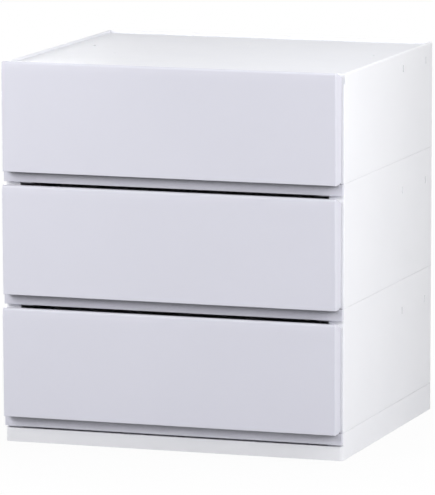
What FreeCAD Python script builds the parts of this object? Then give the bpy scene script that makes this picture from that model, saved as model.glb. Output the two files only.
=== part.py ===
import FreeCAD, Part

import os
import re

import Sketcher

# Storage chest of stacked plastic frames with three pull-out drawers.
# Millimetres, +Z up, origin on the floor under the middle of the whole chest.
# Every piece is drawn in one local frame: x = 0 in the middle, y = 0 on the front edges of the
# frames with +y towards the back, and z = 0 at the level that the piece is placed at.

doc = FreeCAD.newDocument("drawer_storage_chest")
sheet = doc.addObject("Spreadsheet::Sheet", "sizes")

driving_sizes = {
    # The stack of frames
    "case_width": 450,
    "case_depth": 394,
    "tier_pitch": 157.3,
    "wall": 2.4,
    "flange_width": 20,
    "front_corner_radius": 2.2,
    "back_corner_radius": 5,
    "groove_height": 0.8,
    "groove_depth": 0.5,
    # Base frame and its feet
    "base_height": 35.7,
    "base_rail_gap": 3.1,
    "base_rail_proud": 4.5,
    "base_corner_radius": 4.5,
    "floor_rise": 2,
    "foot_drop": 1,
    "foot_radius": 11,
    "foot_inset": 34,
    # Top frame and the panel that drops into it
    "rim_under_front": 2.6,
    "top_rail_height": 12.5,
    "rim_round": 2,
    "panel_recess": 3.5,
    "panel_thickness": 2.6,
    "panel_play": 0.3,
    "panel_ledge_width": 8,
    "nub_radius": 1.6,
    "nub_rise": 0.5,
    "latch_inset": 35,
    "latch_length": 9,
    "latch_width": 2.6,
    "latch_depth": 1.2,
    # Shallow joining slots on the sides
    "slot_width": 2.6,
    "slot_height": 9,
    "slot_depth": 0.8,
    "slot_drop": 21.3,
    # Runners
    "runner_bearing": 8,
    "runner_thickness": 2.5,
    "runner_leg_wall": 2.2,
    "runner_short": 20,
    "run_play": 0.3,
    # Clips that bridge the seams
    "clip_length": 34,
    "clip_height": 14,
    "clip_thickness": 2,
    "clip_gap": 1.6,
    # Drawer boxes
    "box_head_room": 7.1,
    "box_wall": 2.2,
    "box_rim_width": 5,
    "box_rim_thickness": 2.4,
    "box_corner_radius": 10,
    "box_side_play": 2,
    "box_back_play": 7,
    "stop_travel": 290,
    "stop_length": 8,
    "stop_height": 14,
    "stop_catch": 3,
    "stop_drop": 6,
    # Drawer fronts
    "front_proud": 26,
    "face_lean": 2.7,
    "drawer_gap": 2.4,
    "face_drop": 0.5,
    "brow_height": 12,
    "brow_depth": 1.1,
    "lip_depth": 5,
    "top_fall": 7,
    "top_round": 3.2,
    "edge_round": 1.2,
    "front_inset": 4.2,
    "front_wall": 2.6,
    "front_play": 0.8,
    "pocket_height": 14.3,
    "pocket_hook": 10,
    "strip_proud": 8,
    "strip_inset": 0.4,
    "strip_thickness": 2.2,
    "boss_radius": 5,
    "boss_play": 0.2,
    "boss_margin": 48,
    "boss_low": 24,
    "boss_top_margin": 21.7,
    # How far every cutting tool reaches past the face that it opens
    "overrun": 3,
}

# Places along the depth and the width, as shares of the case
nub_shares = [(0, 0.30), (0, 0.77), (-0.30, 0.41), (0.30, 0.41)]
latch_depth_share = 0.59
slot_depth_shares = [0.65, 0.915]
clip_side_shares = [0.22, 0.78]
clip_back_shares = [-0.27, 0.27]

tiers = ["bottom", "middle", "top"]
sides = {"left": -1, "right": 1}

for row, (alias, value) in enumerate(driving_sizes.items(), start=1):
    sheet.set(f"A{row}", alias)
    sheet.set(f"B{row}", str(value))
    sheet.setAlias(f"B{row}", alias)
doc.recompute()

alias_pattern = re.compile(r"\b(" + "|".join(driving_sizes) + r")\b")


def size(alias):
    return float(sheet.get(alias))


def bound(text):
    return alias_pattern.sub(r"sizes.\1", text)


def amount(text):
    return float(doc.sizes.evalExpression(bound(text)))


# Levels and planes that several pieces share, as expressions
case_y = "(front_proud - case_depth) / 2"
half_width = "case_width / 2"
skin = "(case_width / 2 - wall)"
box_half = "(case_width / 2 - flange_width - box_side_play - box_rim_width)"
box_back = "(case_depth - wall - box_back_play)"
front_half = "(case_width / 2 - front_inset)"
face_height = "(tier_pitch - pocket_height - drawer_gap)"
top_height = f"({face_height} - face_drop - rim_under_front)"
panel_level = f"({top_height} - panel_recess - panel_thickness)"
box_height = f"({panel_level} - wall - box_head_room + face_drop + pocket_height)"
base_rail_height = "(base_height - face_drop - pocket_height - base_rail_gap)"
runner_drop = "(face_drop + pocket_height + run_play + runner_thickness)"
runner_leg_height = f"({runner_drop} - clip_height / 2 - clip_gap)"


def seam(tier):
    return f"(foot_drop + base_height + {tier} * tier_pitch)"


def drawer_level(tier):
    return f"({seam(tier)} - face_drop - pocket_height)"


def place(piece, x="0", y="0", z="0"):
    for axis, text in zip("xyz", (x, y, z)):
        piece.setExpression(f"Placement.Base.{axis}", bound(text))
    return piece


def label(piece, name, level):
    piece.Label = name
    place(piece, "0", case_y, level)
    doc.recompute()
    return piece


def block(name, x, y, z):
    """Block between two planes on each axis, given as pairs of expressions."""
    piece = doc.addObject("Part::Box", name)
    for side, (low, high) in zip(("Length", "Width", "Height"), (x, y, z)):
        piece.setExpression(side, bound(f"({high}) - ({low})"))
    return place(piece, x[0], y[0], z[0])


def cylinder(name, radius, length, along_y=False):
    piece = doc.addObject("Part::Cylinder", name)
    piece.setExpression("Radius", bound(radius))
    piece.setExpression("Height", bound(length))
    if along_y:
        piece.Placement.Rotation = FreeCAD.Rotation(FreeCAD.Vector(1, 0, 0), 90)
    return piece


def fuse(name, pieces):
    joined = doc.addObject("Part::MultiFuse", name)
    joined.Shapes = pieces
    return joined


def cut(name, base, tools):
    tool = tools[0] if len(tools) == 1 else fuse(f"{name}_tools", tools)
    result = doc.addObject("Part::Cut", name)
    result.Base = base
    result.Tool = tool
    return result


def group(name, pieces):
    """Separate solids that share one node."""
    result = doc.addObject("Part::Compound", name)
    result.Links = pieces
    return result


def rounded(name, base, radius, chosen):
    """Rounds the edges of base whose box the test picks out."""
    doc.recompute()
    result = doc.addObject("Part::Fillet", name)
    result.Base = base
    picks = [index for index, edge in enumerate(base.Shape.Edges, start=1) if chosen(edge.BoundBox)]
    if not picks:
        raise RuntimeError(f"{name}: no edge to round")
    result.Edges = [(index, size(radius), size(radius)) for index in picks]
    doc.recompute()
    return result


def outline(body, name, plane_role, points):
    """Closed sketch of straight lines whose corners are bound to expressions."""
    sketch = body.newObject("Sketcher::SketchObject", name)
    plane = next(item for item in body.Origin.OriginFeatures if item.Role == plane_role)
    sketch.AttachmentSupport = (plane, "")
    sketch.MapMode = "FlatFace"
    corners = [FreeCAD.Vector(amount(across), amount(up), 0) for across, up in points]
    count = len(corners)
    for index, corner in enumerate(corners):
        sketch.addGeometry(Part.LineSegment(corner, corners[(index + 1) % count]))
    for index in range(count):
        sketch.addConstraint(Sketcher.Constraint("Coincident", index, 2, (index + 1) % count, 1))
    for index, (point, corner) in enumerate(zip(points, corners)):
        for kind, text, value in (("DistanceX", point[0], corner.x), ("DistanceY", point[1], corner.y)):
            row = sketch.addConstraint(Sketcher.Constraint(kind, -1, 1, index, 1, value))
            sketch.setExpression(f"Constraints[{row}]", bound(text))
    return sketch


def extrude(body, kind, sketch, length, midplane=False):
    feature = body.newObject(f"PartDesign::{kind}", f"{sketch.Name}_{kind.lower()}")
    feature.Profile = sketch
    feature.setExpression("Length", bound(length))
    feature.Midplane = midplane
    body.Tip = feature
    doc.recompute()
    return feature


def rectangle(low, high):
    return [(low[0], low[1]), (high[0], low[1]), (high[0], high[1]), (low[0], high[1])]


def parallel_to(axis, box, tolerance):
    spans = {"x": box.XLength, "y": box.YLength, "z": box.ZLength}
    return spans.pop(axis) > tolerance and all(span < tolerance for span in spans.values())


def near(value, target):
    return abs(value - target) < size("overrun") / 100


# Frames: one U of two sides and a back, with the front edges turned in as flanges
def frame_ring(name, height):
    body = doc.addObject("PartDesign::Body", f"{name}_body")
    inner = f"({half_width} - flange_width)"
    right = [(inner, "0"), (half_width, "0"), (half_width, "case_depth")]
    left = [("-" + half_width, "case_depth"), ("-" + half_width, "0"), ("-" + inner, "0")]
    inside_left = [("-" + inner, "wall"), ("-" + skin, "wall"), ("-" + skin, "case_depth - wall")]
    inside_right = [(skin, "case_depth - wall"), (skin, "wall"), (inner, "wall")]
    sketch = outline(body, f"{name}_plan", "XY_Plane", right + left + inside_left + inside_right)
    extrude(body, "Pad", sketch, height)
    deep, wide = size("case_depth"), size("case_width") / 2
    back_done = rounded(
        f"{name}_back_corners", body, "back_corner_radius",
        lambda box: parallel_to("z", box, size("wall")) and near(box.YMax, deep))
    return rounded(
        f"{name}_front_corners", back_done, "front_corner_radius",
        lambda box: parallel_to("z", box, size("wall")) and near(box.YMax, 0) and near(abs(box.XMax), wide))


def seam_groove(name, height):
    """Ring that takes the outer skin back just under the seam above."""
    around = ("-" + half_width + " - overrun", half_width + " + overrun")
    level = (f"{height} - groove_height", f"{height} + overrun")
    ring = block(f"{name}_groove_ring", around, ("-overrun", "case_depth + overrun"), level)
    kept = block(
        f"{name}_groove_core",
        (f"groove_depth - {half_width}", f"{half_width} - groove_depth"),
        ("-2 * overrun", "case_depth - groove_depth"),
        (f"{height} - 2 * groove_height", f"{height} + 2 * overrun"))
    return cut(f"{name}_groove", ring, [kept])


def joining_slots(name):
    slots = []
    for side, sign in sides.items():
        for number, share in enumerate(slot_depth_shares):
            outer, inner = f"{half_width} + overrun", f"{half_width} - slot_depth"
            across = (inner, outer) if sign > 0 else (f"-({outer})", f"-({inner})")
            middle = f"case_depth * {share}"
            slots.append(block(
                f"{name}_slot_{side}_{number}", across,
                (f"{middle} - slot_width / 2", f"{middle} + slot_width / 2"),
                (f"{top_height} - slot_drop - slot_height / 2", f"{top_height} - slot_drop + slot_height / 2")))
    return slots


def make_base_frame():
    ring = frame_ring("base", "base_height")
    rail = block(
        "base_rail", ("-" + half_width, half_width), ("-base_rail_proud", "wall"),
        ("0", base_rail_height))
    soft_rail = rounded(
        "base_rail_corners", rail, "base_corner_radius",
        lambda box: parallel_to("z", box, size("wall")) and box.YMax < 0)
    floor = block(
        "base_floor", (f"-{skin}", skin), ("wall", "case_depth - wall"),
        ("floor_rise", "floor_rise + wall"))
    whole = fuse("base_whole", [ring, soft_rail, floor])
    finished = cut("base_finished", whole, [seam_groove("base", "base_height")])
    label(finished, "base_frame", "foot_drop")


def make_middle_frame(name, tier):
    ring = frame_ring(name, "tier_pitch")
    tools = [seam_groove(name, "tier_pitch")] + joining_slots(name)
    label(cut(f"{name}_finished", ring, tools), name, seam(tier))


def make_top_frame():
    ring = frame_ring("top", top_height)
    rail = block(
        "top_rail", ("-" + half_width, half_width), ("0", "wall"),
        (f"{top_height} - top_rail_height", top_height))
    ledge_level = (f"{panel_level} - wall", panel_level)
    ledge = block(
        "top_ledge", (f"-{skin}", skin), ("wall", "case_depth - wall"), ledge_level)
    opening = block(
        "top_ledge_opening",
        (f"panel_ledge_width - {skin}", f"{skin} - panel_ledge_width"),
        ("wall + panel_ledge_width", "case_depth - wall - panel_ledge_width"),
        (f"{panel_level} - wall - overrun", f"{panel_level} + overrun"))
    whole = fuse("top_whole", [ring, rail, cut("top_ledge_ring", ledge, [opening])])
    high, wide, deep = amount(top_height), size("case_width") / 2, size("case_depth")

    def on_outer_rim(box):
        outside = near(abs(box.XMin), wide) and near(abs(box.XMax), wide) and box.XLength < wide
        across = near(box.YMin, box.YMax) and (near(box.YMin, 0) or near(box.YMin, deep))
        reaches_side = near(max(abs(box.XMin), abs(box.XMax)), wide)
        corner = reaches_side and (near(box.YMin, 0) or near(box.YMax, deep))
        return near(box.ZMin, high) and (outside or across or corner)

    rounded_rim = rounded("top_rounded", whole, "rim_round", on_outer_rim)
    label(cut("top_finished", rounded_rim, joining_slots("top")), "top_frame", seam(2))


def make_top_panel():
    panel_half = f"({skin} - panel_play)"
    plate = block(
        "panel_plate", (f"-{panel_half}", panel_half),
        ("wall + panel_play", "case_depth - wall - panel_play"), ("0", "panel_thickness"))
    pieces = [plate]
    for number, (across_share, depth_share) in enumerate(nub_shares):
        nub = cylinder(f"panel_nub_{number}", "nub_radius", "panel_thickness + nub_rise")
        pieces.append(place(nub, f"case_width * {across_share}", f"case_depth * {depth_share}"))
    latches = []
    for side, sign in sides.items():
        middle = f"{sign} * ({half_width} - latch_inset)"
        latches.append(block(
            f"panel_latch_{side}", (f"{middle} - latch_width / 2", f"{middle} + latch_width / 2"),
            (f"case_depth * {latch_depth_share}", f"case_depth * {latch_depth_share} + latch_length"),
            ("panel_thickness - latch_depth", "panel_thickness + overrun")))
    finished = cut("panel_finished", fuse("panel_whole", pieces), latches)
    label(finished, "top_panel", f"{seam(2)} + {panel_level}")


def make_feet():
    feet = []
    for side, sign in sides.items():
        for end, middle in (("front", "foot_inset"), ("back", "case_depth - foot_inset")):
            foot = cylinder(f"foot_{side}_{end}", "foot_radius", "foot_drop + floor_rise")
            feet.append(place(foot, f"{sign} * ({half_width} - foot_inset)", middle))
    label(group("feet_group", feet), "base_feet", "0")


# Runners: an angle against the side skin, whose ledge carries the drawer's bottom edge
def make_runner(tier, side, sign):
    name = f"runner_{side}_{tiers[tier]}"
    body = doc.addObject("PartDesign::Body", f"{name}_body")
    lip = f"({box_half} - runner_bearing)"
    section = [
        (lip, "0"), (skin, "0"), (skin, runner_leg_height),
        (f"{skin} - runner_leg_wall", runner_leg_height),
        (f"{skin} - runner_leg_wall", "runner_thickness"), (lip, "runner_thickness")]
    if sign < 0:
        section = [(f"-({across})", up) for across, up in section]
    sketch = outline(body, f"{name}_section", "XZ_Plane", section)
    pad = extrude(body, "Pad", sketch, "case_depth - 2 * wall - runner_short")
    pad.Reversed = True
    body.Label = name
    place(body, "0", f"{case_y} + wall", f"{seam(tier)} - {runner_drop}")
    doc.recompute()


# Clips: small plates inside the walls that hold a frame to the one under it
def make_seam_clips(tier, name):
    clips = []
    for side, sign in sides.items():
        for number, share in enumerate(clip_side_shares):
            inner = f"{skin} - clip_thickness"
            middle = f"case_depth * {share}"
            clips.append(block(
                f"{name}_{side}_{number}", (inner, skin) if sign > 0 else (f"-{skin}", f"-({inner})"),
                (f"{middle} - clip_length / 2", f"{middle} + clip_length / 2"),
                ("-clip_height / 2", "clip_height / 2")))
    for number, share in enumerate(clip_back_shares):
        middle = f"case_width * {share}"
        clips.append(block(
            f"{name}_back_{number}", (f"{middle} - clip_length / 2", f"{middle} + clip_length / 2"),
            ("case_depth - wall - clip_thickness", "case_depth - wall"),
            ("-clip_height / 2", "clip_height / 2")))
    label(group(f"{name}_group", clips), name, seam(tier))


# Drawer boxes: open on top, with a turned-out rim and two stop lugs
def boss_places():
    across = f"({box_half} - boss_margin)"
    heights = ("pocket_height + boss_low", f"{box_height} - boss_top_margin")
    return [(f"{sign} * {across}", up) for sign in sides.values() for up in heights]


def make_drawer_box(tier):
    name = f"drawer_box_{tiers[tier]}"
    body = doc.addObject("PartDesign::Body", f"{name}_body")
    plan = outline(
        body, f"{name}_plan", "XY_Plane",
        rectangle((f"-{box_half}", "-front_play"), (box_half, box_back)))
    extrude(body, "Pad", plan, box_height)
    upright = rounded(
        f"{name}_corners", body, "box_corner_radius",
        lambda box: parallel_to("z", box, size("box_wall")) and box.YMin > 0)
    rim_reach = f"({box_half} + box_rim_width)"
    rim = block(
        f"{name}_rim", (f"-{rim_reach}", rim_reach), ("wall", f"{box_back} + box_rim_width"),
        (f"{box_height} - box_rim_thickness", box_height))
    lugs = []
    for side, sign in sides.items():
        inner, outer = f"{box_half} - box_wall", f"{half_width} - flange_width + stop_catch"
        start = "wall + run_play + stop_travel"
        lugs.append(block(
            f"{name}_lug_{side}", (inner, outer) if sign > 0 else (f"-({outer})", f"-({inner})"),
            (start, f"{start} + stop_length"),
            (f"{box_height} - stop_drop - stop_height", f"{box_height} - stop_drop")))
    hollow = block(
        f"{name}_hollow", (f"box_wall - {box_half}", f"{box_half} - box_wall"),
        ("box_wall - front_play", f"{box_back} - box_wall"), ("box_wall", f"{box_height} + overrun"))
    hollow_corners = rounded(
        f"{name}_hollow_corners", hollow, "box_corner_radius",
        lambda box: parallel_to("z", box, size("box_wall")) and box.YMin > size("box_corner_radius"))
    holes = []
    for number, (across, up) in enumerate(boss_places()):
        hole = cylinder(f"{name}_hole_{number}", "boss_radius + boss_play", "box_wall + 2 * overrun", True)
        holes.append(place(hole, across, "box_wall - front_play + overrun", up))
    whole = fuse(f"{name}_whole", [upright, rim] + lugs)
    label(cut(f"{name}_finished", whole, [hollow_corners] + holes), name, drawer_level(tier))


# Drawer fronts: a hollow leaning panel over a set-back strip, with bosses into the box.
# Fingers hook up behind the panel's lower edge, in front of the strip. The panel's top edge is
# a rounded lip that falls away towards the case.
def make_drawer_front(tier):
    name = f"drawer_front_{tiers[tier]}"
    body = doc.addObject("PartDesign::Body", f"{name}_body")
    top = f"(pocket_height + {face_height})"
    face_low = "(front_proud - face_lean)"
    brow = "(front_proud - brow_depth)"
    width = f"2 * {front_half}"
    face = [("-front_play", "pocket_height"), (f"-{face_low}", "pocket_height"),
            ("-front_proud", f"{top} - brow_height"), (f"-{brow}", top),
            (f"lip_depth - {brow}", top), ("-front_play", f"{top} - top_fall")]
    extrude(body, "Pad", outline(body, f"{name}_face", "YZ_Plane", face), width, True)
    strip = rectangle(("-strip_proud", "0"), ("-front_play", "pocket_height"))
    strip_width = f"2 * ({half_width} - strip_inset)"
    extrude(body, "Pad", outline(body, f"{name}_strip", "YZ_Plane", strip), strip_width, True)
    ceiling = "(pocket_height + pocket_hook)"
    inside = f"{width} - 2 * front_wall"
    pocket = rectangle((f"front_wall - {face_low}", "pocket_height - overrun"), ("-strip_proud", ceiling))
    extrude(body, "Pocket", outline(body, f"{name}_pocket", "YZ_Plane", pocket), inside, True)
    behind = rectangle(("strip_thickness - strip_proud", "strip_thickness"), ("overrun", ceiling))
    extrude(body, "Pocket", outline(body, f"{name}_behind", "YZ_Plane", behind), inside, True)
    hollow = [("overrun", f"{ceiling} + front_wall"),
              (f"front_wall - {face_low}", f"{ceiling} + front_wall"),
              ("front_wall - front_proud", f"{top} - front_wall - brow_height"),
              (f"front_wall - {brow}", f"{top} - front_wall"),
              (f"lip_depth - {brow}", f"{top} - front_wall"),
              ("overrun", f"{top} - top_fall - 2 * front_wall")]
    extrude(body, "Pocket", outline(body, f"{name}_hollow", "YZ_Plane", hollow), inside, True)

    high, foot, half = amount(top), size("pocket_height"), amount(front_half)

    def runs_along(box, level, depth):
        flat = near(box.ZMin, level) and near(box.ZMax, level)
        return flat and box.XLength > half and near(box.YMax, -depth)

    def on_face_border(box):
        on_side = near(abs(box.XMin), half) and box.XLength < half
        upright = on_side and not near(box.ZMin, box.ZMax) and box.YMax < -amount(brow) + 2 * size("top_round")
        return upright or runs_along(box, foot, amount(face_low))

    soft_top = rounded(
        f"{name}_soft_top", body, "top_round", lambda box: runs_along(box, high, amount(brow)))
    soft = rounded(f"{name}_soft", soft_top, "edge_round", on_face_border)
    bosses = []
    for number, (across, up) in enumerate(boss_places()):
        boss = cylinder(f"{name}_boss_{number}", "boss_radius", f"{face_low} + box_wall - front_play", True)
        bosses.append(place(boss, across, "box_wall - front_play", up))
    label(fuse(f"{name}_finished", [soft] + bosses), name, drawer_level(tier))


make_base_frame()
make_middle_frame("lower_frame", 0)
make_middle_frame("upper_frame", 1)
make_top_frame()
make_top_panel()
make_feet()
for tier_number, clip_name in enumerate(("seam_clips_lower", "seam_clips_middle", "seam_clips_upper")):
    make_seam_clips(tier_number, clip_name)
    for side_name, side_sign in sides.items():
        make_runner(tier_number, side_name, side_sign)
    make_drawer_box(tier_number)
    make_drawer_front(tier_number)
doc.recompute()

node_names = ["base_frame", "lower_frame", "upper_frame", "top_frame", "top_panel", "base_feet",
              "seam_clips_lower", "seam_clips_middle", "seam_clips_upper"]
for tier_name in tiers:
    node_names += [f"runner_{side_name}_{tier_name}" for side_name in sides]
    node_names += [f"drawer_box_{tier_name}", f"drawer_front_{tier_name}"]

for item in doc.Objects:
    if "Invalid" in item.State or "Error" in item.State:
        raise RuntimeError(f"{item.Label} failed: {item.State}")
pieces = {}
for node_name in node_names:
    piece = doc.getObjectsByLabel(node_name)[0]
    if piece.Shape.isNull() or not piece.Shape.isValid():
        raise RuntimeError(f"{node_name} has no valid shape")
    pieces[node_name] = piece

os.makedirs("parts", exist_ok=True)
for node_name, piece in pieces.items():
    piece.Shape.exportStep(f"parts/{node_name}.step")
    box = piece.Shape.BoundBox
    print(f"{node_name}: {len(piece.Shape.Solids)} solids, {piece.Shape.Volume / 1000:.1f} cm3, "
          f"x {box.XMin:.1f}..{box.XMax:.1f} y {box.YMin:.1f}..{box.YMax:.1f} z {box.ZMin:.1f}..{box.ZMax:.1f}")
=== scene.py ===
import math
import bpy
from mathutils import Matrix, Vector

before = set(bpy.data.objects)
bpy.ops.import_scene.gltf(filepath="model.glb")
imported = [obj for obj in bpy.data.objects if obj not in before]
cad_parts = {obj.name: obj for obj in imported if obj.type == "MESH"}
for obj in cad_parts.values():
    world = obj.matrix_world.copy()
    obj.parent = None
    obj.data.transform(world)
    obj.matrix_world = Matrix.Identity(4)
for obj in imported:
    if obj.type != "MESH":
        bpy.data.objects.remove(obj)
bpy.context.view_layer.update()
scene = bpy.context.scene


# node helpers

def addNode(tree, kind, inputs=None, **settings):
    node = tree.nodes.new(kind)
    for name, value in settings.items():
        setattr(node, name, value)
    for name, value in (inputs or {}).items():
        node.inputs[name].default_value = value
    return node


def opaque(colour):
    return (*colour, 1.0)


# camera

cameraLook = {
    "azimuth": 18.40,       # degrees to the right of straight on
    "elevation": 8.40,
    "distance": 6.899,      # metres to the aim point
    "aim": (-0.0028, 0.0, 0.2347),
    "lens": 388.15,
    "sensor": 36.0,
}


def makeCamera(look):
    azimuth, elevation = math.radians(look["azimuth"]), math.radians(look["elevation"])
    back = Vector((math.sin(azimuth) * math.cos(elevation),
                   -math.cos(azimuth) * math.cos(elevation), math.sin(elevation)))
    data = bpy.data.cameras.new("photoCamera")
    data.lens = look["lens"]
    data.sensor_width = look["sensor"]
    camera = bpy.data.objects.new("photoCamera", data)
    camera.location = Vector(look["aim"]) + back * look["distance"]
    camera.rotation_mode = "QUATERNION"
    camera.rotation_quaternion = (-back).to_track_quat("-Z", "Y")
    scene.collection.objects.link(camera)
    scene.camera = camera


makeCamera(cameraLook)
scene.view_settings.view_transform = "Standard"
print("camera set")


# studio: world, floor and soft boxes

studio = {
    "ambient": 0.03,
    "ambientTone": (0.97, 0.98, 1.0),
    "floorSpan": 80.0,
    "floorTone": (0.67, 0.67, 0.68),
    "whiteShare": 0.95,      # how much of the floor's look is plain white beside the chest
    "shadowReach": (0.24, 0.62),    # metres from the middle over which the floor turns all white
    "boxes": [
        {"name": "leftFrontBox", "at": (-1.0, -1.4, 0.98), "aim": (0.0, -0.1, 0.22),
         "span": 0.8, "power": 19.2},
        {"name": "rightBox", "at": (1.5, -0.5, 0.8), "aim": (0.0, -0.1, 0.25),
         "span": 0.9, "power": 8.5},
        {"name": "rightFrontBox", "at": (0.9, -0.6, 0.8), "aim": (0.0, -0.1, 0.25),
         "span": 0.6, "power": 2.6},
        {"name": "rightLowBox", "at": (1.3, -0.8, 0.4), "aim": (0.0, -0.1, 0.2),
         "span": 0.7, "power": 2.2},
        {"name": "topBox", "at": (0.4, 0.0, 2.0), "aim": (0.0, 0.0, 0.45),
         "span": 1.0, "power": 15.4},
        {"name": "backBox", "at": (-1.3, 1.9, 0.4), "aim": (0.0, 0.1, 0.25),
         "span": 0.8, "power": 24.0},
    ],
}


def seenRays(tree):
    path = addNode(tree, "ShaderNodeLightPath")
    either = addNode(tree, "ShaderNodeMath", operation="MAXIMUM")
    every = addNode(tree, "ShaderNodeMath", operation="MAXIMUM")
    tree.links.new(path.outputs["Is Camera Ray"], either.inputs[0])
    tree.links.new(path.outputs["Is Glossy Ray"], either.inputs[1])
    tree.links.new(either.outputs[0], every.inputs[0])
    tree.links.new(path.outputs["Is Transmission Ray"], every.inputs[1])
    return every.outputs[0]


def makeWorld(look):
    world = bpy.data.worlds.new("studioWorld")
    world.use_nodes = True
    tree = world.node_tree
    tree.nodes.clear()
    ambient = addNode(tree, "ShaderNodeBackground",
                      {"Color": opaque(look["ambientTone"]), "Strength": look["ambient"]})
    white = addNode(tree, "ShaderNodeBackground", {"Color": (1, 1, 1, 1), "Strength": 1.0})
    mix = addNode(tree, "ShaderNodeMixShader")
    out = addNode(tree, "ShaderNodeOutputWorld")
    tree.links.new(seenRays(tree), mix.inputs["Fac"])
    tree.links.new(ambient.outputs[0], mix.inputs[1])
    tree.links.new(white.outputs[0], mix.inputs[2])
    tree.links.new(mix.outputs[0], out.inputs["Surface"])
    scene.world = world


def makeFloor(look):
    half = look["floorSpan"] / 2
    mesh = bpy.data.meshes.new("floor")
    corners = [(-half, -half, 0), (half, -half, 0), (half, half, 0), (-half, half, 0)]
    mesh.from_pydata(corners, [], [(0, 1, 2, 3)])
    floor = bpy.data.objects.new("floor", mesh)
    scene.collection.objects.link(floor)
    material = bpy.data.materials.new("floorPaper")
    material.use_nodes = True
    tree = material.node_tree
    tree.nodes.clear()
    paper = addNode(tree, "ShaderNodeBsdfDiffuse", {"Color": opaque(look["floorTone"])})
    white = addNode(tree, "ShaderNodeEmission", {"Color": (1, 1, 1, 1), "Strength": 1.0})
    place = addNode(tree, "ShaderNodeTexCoord").outputs["Object"]
    away = addNode(tree, "ShaderNodeVectorMath", operation="LENGTH")
    fade = addNode(tree, "ShaderNodeMapRange", {
        "From Min": look["shadowReach"][0], "From Max": look["shadowReach"][1],
        "To Min": look["whiteShare"], "To Max": 1.0}, interpolation_type="SMOOTHSTEP")
    share = addNode(tree, "ShaderNodeMath", operation="MULTIPLY")
    mix = addNode(tree, "ShaderNodeMixShader")
    out = addNode(tree, "ShaderNodeOutputMaterial")
    tree.links.new(place, away.inputs[0])
    tree.links.new(away.outputs["Value"], fade.inputs["Value"])
    tree.links.new(fade.outputs["Result"], share.inputs[1])
    tree.links.new(seenRays(tree), share.inputs[0])
    tree.links.new(share.outputs[0], mix.inputs["Fac"])
    tree.links.new(paper.outputs[0], mix.inputs[1])
    tree.links.new(white.outputs[0], mix.inputs[2])
    tree.links.new(mix.outputs[0], out.inputs["Surface"])
    mesh.materials.append(material)


def makeSoftBox(look):
    data = bpy.data.lights.new(look["name"], "AREA")
    data.shape = "SQUARE"
    data.size = look["span"]
    data.energy = look["power"]
    lamp = bpy.data.objects.new(look["name"], data)
    lamp.location = look["at"]
    lamp.rotation_mode = "QUATERNION"
    lamp.rotation_quaternion = (Vector(look["aim"]) - Vector(look["at"])).to_track_quat("-Z", "Y")
    scene.collection.objects.link(lamp)


makeWorld(studio)
makeFloor(studio)
for softBox in studio["boxes"]:
    makeSoftBox(softBox)
print("studio lit by", len(studio["boxes"]), "soft boxes")


# finishes: tones drift in soft clouds, gloss in scuffs, and painted shade darkens creases by their
# depth

textureLook = {
    "cloudDetail": 3.0,
    "scuffDetail": 4.0,
    "peelDetail": 1.0,
    "grainDetail": 2.0,
    "noiseSpan": (0.3, 0.7),    # the part of the noise that is spread over a range
    "paintedShadeSamples": 8,
}


def noise(tree, place, size, detail):
    made = addNode(tree, "ShaderNodeTexNoise", {"Scale": 1 / size, "Detail": detail})
    tree.links.new(place, made.inputs["Vector"])
    return made.outputs["Fac"]


def spread(tree, value, low, high):
    bottom, top = textureLook["noiseSpan"]
    made = addNode(tree, "ShaderNodeMapRange", {
        "From Min": bottom, "From Max": top, "To Min": low, "To Max": high})
    tree.links.new(value, made.inputs["Value"])
    return made.outputs["Result"]


def mixTones(tree, amount, first, second):
    made = addNode(tree, "ShaderNodeMix", data_type="RGBA")
    tree.links.new(amount, made.inputs[0])
    made.inputs[6].default_value = opaque(first)
    made.inputs[7].default_value = opaque(second)
    return made.outputs[2]


def paintCreaseShade(tree, colour, look):
    # painted shade: ambient occlusion pulls the base colour towards a painted shade tone in creases,
    # recesses and between walls
    near = addNode(tree, "ShaderNodeAmbientOcclusion", {"Distance": look["paintedShadeReach"]},
                   samples=textureLook["paintedShadeSamples"], only_local=True)
    deep, shallow = look["paintedShadeSpan"]
    clear = addNode(tree, "ShaderNodeMapRange", {
        "From Min": deep, "From Max": shallow, "To Min": 0.0, "To Max": 1.0})
    made = addNode(tree, "ShaderNodeMix", data_type="RGBA")
    tree.links.new(near.outputs["AO"], clear.inputs["Value"])
    tree.links.new(clear.outputs["Result"], made.inputs[0])
    made.inputs[6].default_value = opaque(look["paintedShadeTone"])
    tree.links.new(colour, made.inputs[7])
    return made.outputs[2]


def bump(tree, height, depth, under=None):
    made = addNode(tree, "ShaderNodeBump", {"Strength": 1.0, "Distance": depth})
    tree.links.new(height, made.inputs["Height"])
    if under:
        tree.links.new(under, made.inputs["Normal"])
    return made.outputs["Normal"]


def mouldedPlastic(name, look):
    material = bpy.data.materials.new(name)
    material.use_nodes = True
    tree = material.node_tree
    tree.nodes.clear()
    shader = addNode(tree, "ShaderNodeBsdfPrincipled", {
        "IOR": look["ior"], "Specular IOR Level": look["specular"]})
    out = addNode(tree, "ShaderNodeOutputMaterial")
    tree.links.new(shader.outputs["BSDF"], out.inputs["Surface"])
    place = addNode(tree, "ShaderNodeTexCoord").outputs["Object"]
    cloud = spread(tree, noise(tree, place, look["cloudSize"], textureLook["cloudDetail"]), 0.0, 1.0)
    colour = mixTones(tree, cloud, look["tone"], look["cloudTone"])
    tree.links.new(paintCreaseShade(tree, colour, look), shader.inputs["Base Color"])
    scuff = noise(tree, place, look["scuffSize"], textureLook["scuffDetail"])
    tree.links.new(spread(tree, scuff, *look["roughness"]), shader.inputs["Roughness"])
    waves = noise(tree, place, look["peelSize"], textureLook["peelDetail"])
    peel = bump(tree, waves, look["peelDepth"])
    specks = noise(tree, place, look["grainSize"], textureLook["grainDetail"])
    grain = bump(tree, specks, look["grainDepth"], peel)
    tree.links.new(grain, shader.inputs["Normal"])
    return material


# each look's painted shade tone, reach and span paint shade into its creases and recesses
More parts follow.
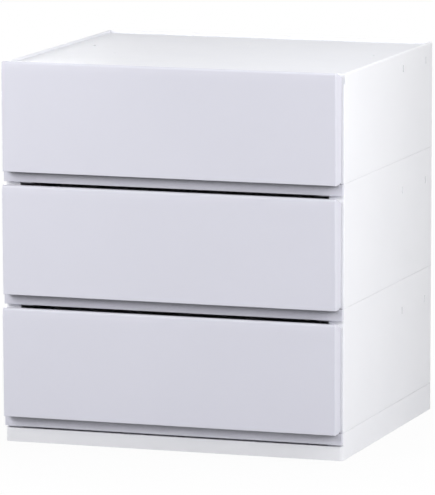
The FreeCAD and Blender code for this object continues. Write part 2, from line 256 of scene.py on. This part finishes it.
caseLook = {
    "tone": (0.93, 0.933, 0.963), "cloudTone": (0.915, 0.919, 0.951), "cloudSize": 0.11,
    "roughness": (0.42, 0.52), "scuffSize": 0.03, "ior": 1.49, "specular": 0.3,
    "peelSize": 0.012, "peelDepth": 0.00012, "grainSize": 0.0009, "grainDepth": 0.00008,
    "paintedShadeReach": 0.003, "paintedShadeSpan": (0.3, 0.85), "paintedShadeTone": (0.62, 0.625, 0.65),
}
panelLook = {
    "tone": (0.86, 0.867, 0.91), "cloudTone": (0.845, 0.853, 0.897), "cloudSize": 0.13,
    "roughness": (0.45, 0.55), "scuffSize": 0.025, "ior": 1.49, "specular": 0.3,
    "peelSize": 0.014, "peelDepth": 0.00012, "grainSize": 0.0012, "grainDepth": 0.00014,
    "paintedShadeReach": 0.003, "paintedShadeSpan": (0.3, 0.85), "paintedShadeTone": (0.62, 0.625, 0.65),
}
frontLook = {
    "tone": (0.733, 0.733, 0.813), "cloudTone": (0.723, 0.723, 0.803), "cloudSize": 0.14,
    "roughness": (0.34, 0.42), "scuffSize": 0.04, "ior": 1.50, "specular": 0.4,
    "peelSize": 0.016, "peelDepth": 0.0001, "grainSize": 0.0007, "grainDepth": 0.00004,
    # painted shadow: a near-black painted shade over 4 cm darkens the finger pockets and the hollows
    # behind each front
    "paintedShadeReach": 0.04, "paintedShadeSpan": (0.56, 0.7), "paintedShadeTone": (0.1, 0.1, 0.115),
}
boxLook = {
    "tone": (0.82, 0.825, 0.84), "cloudTone": (0.79, 0.80, 0.82), "cloudSize": 0.09,
    "roughness": (0.36, 0.5), "scuffSize": 0.02, "ior": 1.49, "specular": 0.4,
    "peelSize": 0.02, "peelDepth": 0.0002, "grainSize": 0.0011, "grainDepth": 0.00006,
    "paintedShadeReach": 0.004, "paintedShadeSpan": (0.3, 0.85), "paintedShadeTone": (0.6, 0.605, 0.62),
}
runnerLook = {
    "tone": (0.74, 0.745, 0.76), "cloudTone": (0.70, 0.705, 0.73), "cloudSize": 0.05,
    "roughness": (0.28, 0.4), "scuffSize": 0.012, "ior": 1.48, "specular": 0.5,
    "peelSize": 0.01, "peelDepth": 0.0001, "grainSize": 0.0008, "grainDepth": 0.00004,
    "paintedShadeReach": 0.003, "paintedShadeSpan": (0.3, 0.85), "paintedShadeTone": (0.55, 0.555, 0.57),
}
clipLook = {
    "tone": (0.72, 0.725, 0.74), "cloudTone": (0.68, 0.685, 0.70), "cloudSize": 0.02,
    "roughness": (0.34, 0.46), "scuffSize": 0.008, "ior": 1.49, "specular": 0.4,
    "peelSize": 0.008, "peelDepth": 0.00008, "grainSize": 0.0006, "grainDepth": 0.00004,
    "paintedShadeReach": 0.002, "paintedShadeSpan": (0.3, 0.85), "paintedShadeTone": (0.55, 0.555, 0.57),
}
rubberLook = {
    "tone": (0.075, 0.075, 0.08), "cloudTone": (0.055, 0.055, 0.06), "cloudSize": 0.008,
    "roughness": (0.68, 0.85), "scuffSize": 0.004, "ior": 1.52, "specular": 0.3,
    "peelSize": 0.004, "peelDepth": 0.0001, "grainSize": 0.0005, "grainDepth": 0.0001,
    "paintedShadeReach": 0.002, "paintedShadeSpan": (0.3, 0.85), "paintedShadeTone": (0.04, 0.04, 0.045),
}
finishes = {
    "case_plastic": mouldedPlastic("satinCase", caseLook),
    "panel_plastic": mouldedPlastic("grainedTop", panelLook),
    "front_plastic": mouldedPlastic("paleFront", frontLook),
    "box_plastic": mouldedPlastic("milkyBox", boxLook),
    "runner_plastic": mouldedPlastic("slickRunner", runnerLook),
    "clip_plastic": mouldedPlastic("greyClip", clipLook),
    "foot_rubber": mouldedPlastic("darkRubber", rubberLook),
}
print("finishes made:", len(finishes))


# edges: every moulded edge is slightly broken, and flats stay flat

edgeLook = {
    "weld": 0.00001,
    "flatAngle": math.radians(0.6),
    "sharpAngle": math.radians(32),
    "segments": 2,
    "widths": {"front": 0.0005, "runner": 0.0004, "seam": 0.0003, "drawer": 0.0005},
    "width": 0.0006,
}


def smoothGroup():
    group = bpy.data.node_groups.new("smoothShade", "GeometryNodeTree")
    group.interface.new_socket("Geometry", in_out="INPUT", socket_type="NodeSocketGeometry")
    group.interface.new_socket("Geometry", in_out="OUTPUT", socket_type="NodeSocketGeometry")
    start = group.nodes.new("NodeGroupInput")
    smooth = group.nodes.new("GeometryNodeSetShadeSmooth")
    end = group.nodes.new("NodeGroupOutput")
    group.links.new(start.outputs[0], smooth.inputs["Geometry"])
    group.links.new(smooth.outputs[0], end.inputs[0])
    return group


def breakEdges(piece, width, shade):
    weld = piece.modifiers.new("weld", "WELD")
    weld.merge_threshold = edgeLook["weld"]
    flat = piece.modifiers.new("flat", "DECIMATE")
    flat.decimate_type = "DISSOLVE"
    flat.angle_limit = edgeLook["flatAngle"]
    edge = piece.modifiers.new("edge", "BEVEL")
    edge.width = width
    edge.segments = edgeLook["segments"]
    edge.limit_method = "ANGLE"
    edge.angle_limit = edgeLook["sharpAngle"]
    edge.use_clamp_overlap = True
    smooth = piece.modifiers.new("smooth", "NODES")
    smooth.node_group = shade
    normals = piece.modifiers.new("normals", "WEIGHTED_NORMAL")
    normals.mode = "FACE_AREA"


shade = smoothGroup()
for name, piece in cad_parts.items():
    slotName = piece.material_slots[0].material.name
    piece.material_slots[0].material = finishes[slotName]
    breakEdges(piece, edgeLook["widths"].get(name.split("_")[0], edgeLook["width"]), shade)
print("edges broken on", len(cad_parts), "pieces")
